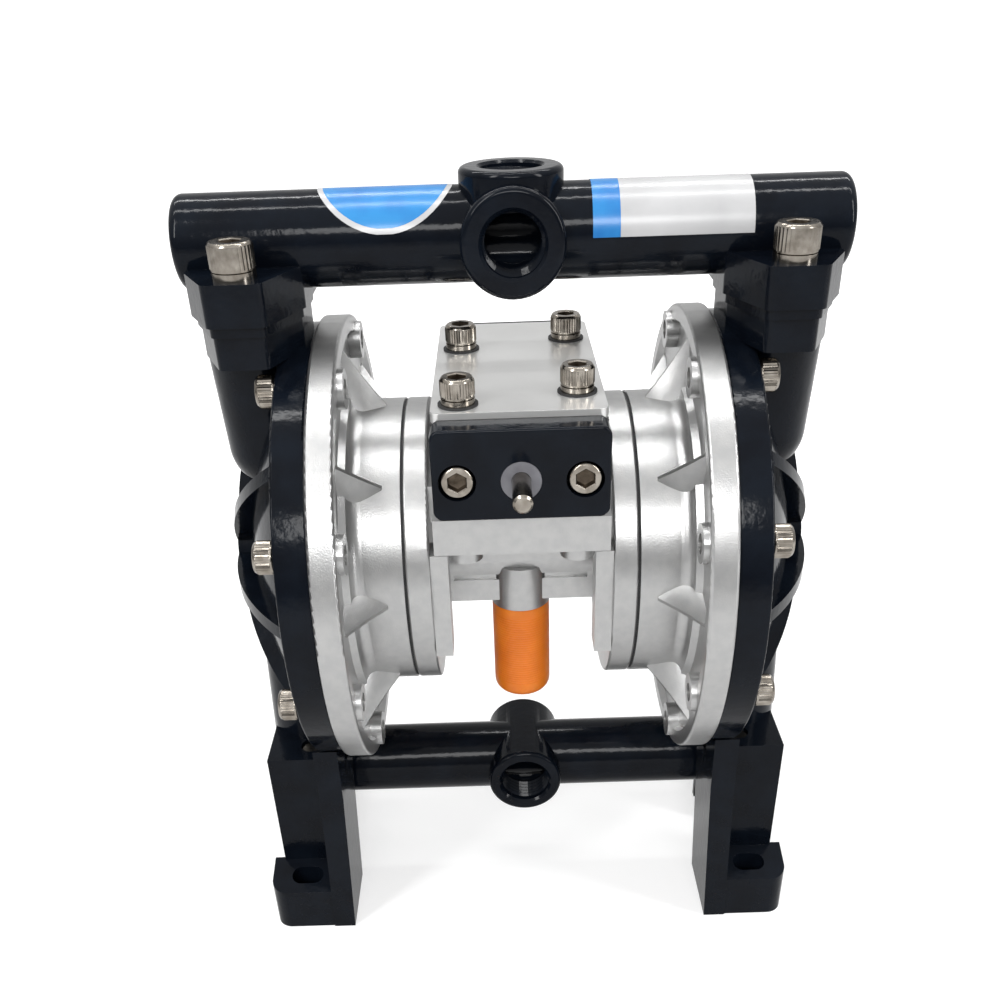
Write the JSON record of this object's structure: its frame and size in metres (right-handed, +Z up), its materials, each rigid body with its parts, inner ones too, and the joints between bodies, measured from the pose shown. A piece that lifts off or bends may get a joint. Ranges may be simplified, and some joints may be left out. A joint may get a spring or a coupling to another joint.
{
  "type": "air operated diaphragm pump",
  "caption": "Double diaphragm pump with a fluid chamber each side of an air valve body, manifold pipes above and below, threaded ports and slotted feet.",
  "frame": {"origin": "on the ground plane, midway between the four foot slots, under the middle of the shaft", "axes": "+X along the diaphragm shaft towards the right chamber seen from the front, +Y away from the front face with the reset pin, +Z up"},
  "size_m": [0.2, 0.1544, 0.2635],
  "materials": {
    "black_paint": "glossy blue-black paint over aluminium castings",
    "cast_silver": "fine blasted satin casting",
    "aluminium_plate": "smooth satin",
    "bright_steel": "bright nickel-plated steel",
    "silencer_plastic": "semi-matt orange moulding",
    "moulded_plastic": "semi-matt grey moulding",
    "gasket_rubber": "matt black sheet rubber",
    "elastomer": "smooth dark rubber",
    "bronze": "turned bronze"
  },
  "bodies": {
    "pump": {"air_chamber_left": "cast_silver", "air_chamber_right": "cast_silver", "air_chamber_screws_left": "bright_steel", "air_chamber_screws_right": "bright_steel", "centre_body": "cast_silver", "centre_flange_left": "cast_silver", "centre_flange_right": "cast_silver", "diaphragm_left": "elastomer", "diaphragm_right": "elastomer", "discharge_cage_left": "moulded_plastic", "discharge_cage_right": "moulded_plastic", "discharge_manifold": "black_paint", "discharge_seat_left": "moulded_plastic", "discharge_seat_right": "moulded_plastic", "fluid_chamber_left": "black_paint", "fluid_chamber_right": "black_paint", "foot_bolts": "bright_steel", "foot_washers": "bright_steel", "front_cap_gasket": "gasket_rubber", "front_cap_screws": "bright_steel", "front_end_cap": "black_paint", "joint_gasket_left": "gasket_rubber", "joint_gasket_right": "gasket_rubber", "manifold_bolts": "bright_steel", "manifold_seals": "gasket_rubber", "manifold_washers": "bright_steel", "plate_screws": "bright_steel", "plate_seals": "gasket_rubber", "plate_washers": "bright_steel", "rear_cap_gasket": "gasket_rubber", "rear_cap_screws": "bright_steel", "rear_end_cap": "black_paint", "reset_bush": "moulded_plastic", "rim_bolts_left": "bright_steel", "rim_bolts_right": "bright_steel", "shaft_bush_left": "bronze", "shaft_bush_right": "bronze", "shaft_seal_left": "gasket_rubber", "shaft_seal_right": "gasket_rubber", "silencer": "silencer_plastic", "suction_cage_left": "moulded_plastic", "suction_cage_right": "moulded_plastic", "suction_manifold": "black_paint", "suction_seat_left": "moulded_plastic", "suction_seat_right": "moulded_plastic", "top_gasket": "gasket_rubber", "top_plate": "aluminium_plate", "valve_sleeve": "aluminium_plate"},
    "shaft_group": {"diaphragm_shaft": "bright_steel", "inner_plate_left": "aluminium_plate", "inner_plate_right": "aluminium_plate", "outer_plate_left": "aluminium_plate", "outer_plate_right": "aluminium_plate"},
    "pilot_rod": {"pilot_rod": "bright_steel"},
    "spool_group": {"valve_spool": "aluminium_plate", "reset_pin": "bright_steel"},
    "discharge_ball_left": {"discharge_ball_left": "elastomer"},
    "discharge_ball_right": {"discharge_ball_right": "elastomer"},
    "suction_ball_left": {"suction_ball_left": "elastomer"},
    "suction_ball_right": {"suction_ball_right": "elastomer"}
  },
  "joints": [
    {"name": "shaft_stroke", "type": "slide", "parent": "pump", "child": "shaft_group", "axis": [1, 0, 0], "range_m": [-0.007, 0.007], "deforming": ["diaphragm_left", "diaphragm_right"]},
    {"name": "pilot_shift", "type": "slide", "parent": "pump", "child": "pilot_rod", "axis": [1, 0, 0], "range_m": [-0.0042, 0.0042]},
    {"name": "spool_shift", "type": "slide", "parent": "pump", "child": "spool_group", "axis": [0, 1, 0], "range_m": [0, 0.006]},
    {"name": "discharge_ball_lift_left", "type": "slide", "parent": "pump", "child": "discharge_ball_left", "axis": [0, 0, 1], "range_m": [0, 0.004]},
    {"name": "discharge_ball_lift_right", "type": "slide", "parent": "pump", "child": "discharge_ball_right", "axis": [0, 0, 1], "range_m": [0, 0.004]},
    {"name": "suction_ball_lift_left", "type": "slide", "parent": "pump", "child": "suction_ball_left", "axis": [0, 0, 1], "range_m": [0, 0.004]},
    {"name": "suction_ball_lift_right", "type": "slide", "parent": "pump", "child": "suction_ball_right", "axis": [0, 0, 1], "range_m": [0, 0.004]}
  ],
  "couplings": [
    {"joint": "pilot_shift", "follows": "shaft_stroke", "ratio": 0.6}
  ]
}
